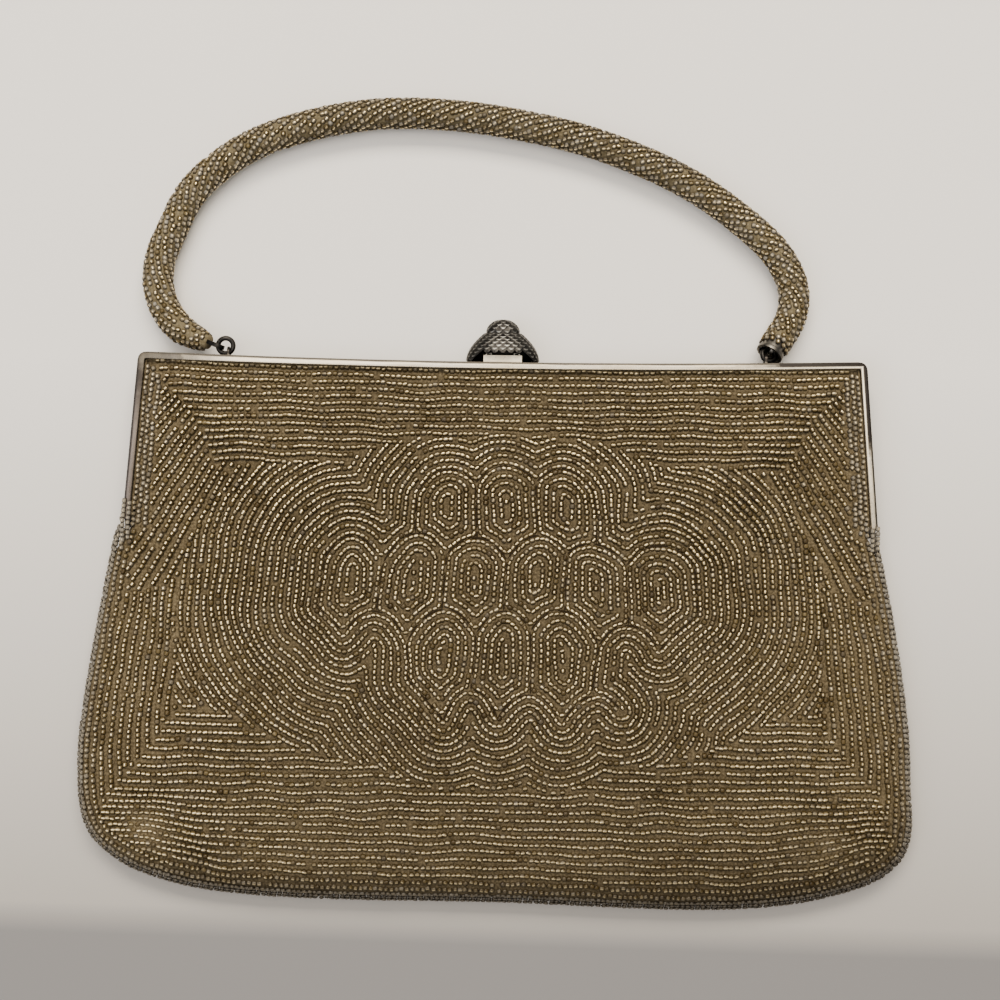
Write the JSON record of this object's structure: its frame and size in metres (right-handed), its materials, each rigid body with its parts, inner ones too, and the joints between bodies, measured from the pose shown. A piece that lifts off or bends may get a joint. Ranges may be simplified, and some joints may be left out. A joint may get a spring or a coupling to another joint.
{
  "type": "beaded evening bag",
  "caption": "Evening bag with a beaded pouch on a slim metal frame, a scaled clasp that lifts to open it and a beaded rope handle on rings.",
  "frame": {"origin": "middle of the back panel's flat outer face, on the surface that the bag lies on", "axes": "+X to the bag's right, +Y from the pouch's bottom to the handle, +Z out of the bag's front"},
  "size_m": [0.2174, 0.2107, 0.0137],
  "materials": {
    "frame_metal": "silvered metal, tarnished",
    "dark_metal": "oxidised silvered metal",
    "beadwork": "cloth covered with lined glass seed beads"
  },
  "bodies": {
    "bag": {"front_frame": "frame_metal", "back_frame": "frame_metal", "left_hinge_pin": "dark_metal", "right_hinge_pin": "dark_metal", "clasp_pin": "dark_metal", "front_panel": "beadwork", "back_panel": "beadwork", "beaded_handle": "beadwork", "left_handle_eye": "dark_metal", "right_ferrule": "dark_metal", "left_frame_ring": "dark_metal", "right_frame_ring": "dark_metal"},
    "clasp": {"clasp_cap": "dark_metal"}
  },
  "joints": [
    {"name": "clasp_lift", "type": "hinge", "parent": "bag", "child": "clasp", "pos_m": [0, 0.0702, 0.0022], "axis": [-1, 0, 0], "range_deg": [0, 24], "stiffness_Nm_per_rad": 0.005, "springref_deg": -28.65}
  ]
}
